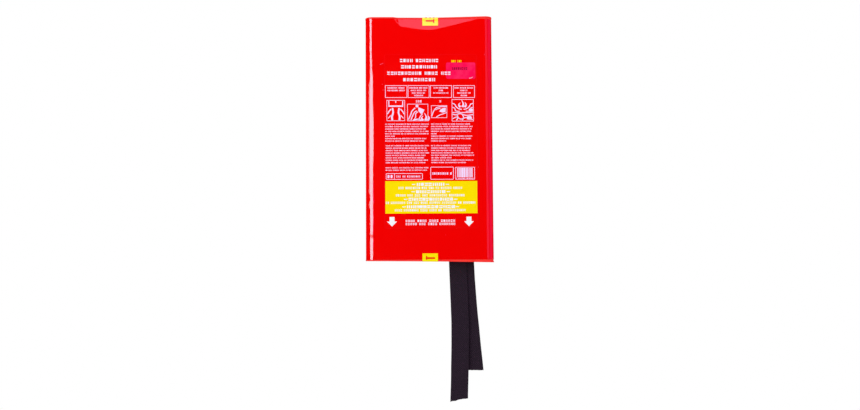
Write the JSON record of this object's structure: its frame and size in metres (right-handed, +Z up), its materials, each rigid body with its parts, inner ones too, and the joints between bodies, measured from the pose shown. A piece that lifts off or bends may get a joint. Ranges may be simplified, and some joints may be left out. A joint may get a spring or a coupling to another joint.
{
  "type": "fire blanket",
  "caption": "Flat red wall case holding a folded glass-fibre fire blanket, drawn out downwards by black webbing pull tapes.",
  "frame": {"origin": "centre of the case's flat back face, which lies against the wall", "axes": "+Z up along the case, -Y out of the wall towards the front face, +X to the right seen from the front"},
  "size_m": [0.149, 0.0367, 0.4501],
  "materials": {
    "case_red": "gloss",
    "cap_red": "satin",
    "glass_cloth": "matte",
    "black_webbing": "matte",
    "stitch_thread": "matte",
    "label_film": "gloss",
    "lot_pink": "satin",
    "seal_yellow": "satin",
    "print_white": "satin",
    "print_yellow": "satin",
    "print_red": "satin",
    "print_dark": "satin"
  },
  "bodies": {
    "case": {"case_tube": "case_red", "top_cap": "cap_red", "instruction_label": "label_film", "lot_label": "lot_pink", "top_seal": "seal_yellow", "bottom_seal_upper": "seal_yellow"},
    "blanket": {"folded_blanket": "glass_cloth", "pull_tape_front": "black_webbing", "pull_tape_rear": "black_webbing", "tape_stitch_front": "stitch_thread", "tape_stitch_rear": "stitch_thread"},
    "bottom_cap": {"bottom_cap": "cap_red", "bottom_seal_lower": "seal_yellow"}
  },
  "joints": [
    {"name": "blanket_pull", "type": "slide", "parent": "case", "child": "blanket", "axis": [0, 0, -1], "range_m": [0, 0.3]},
    {"name": "cap_release", "type": "slide", "parent": "blanket", "child": "bottom_cap", "axis": [0, 0, -1], "range_m": [0, 0.035]}
  ]
}
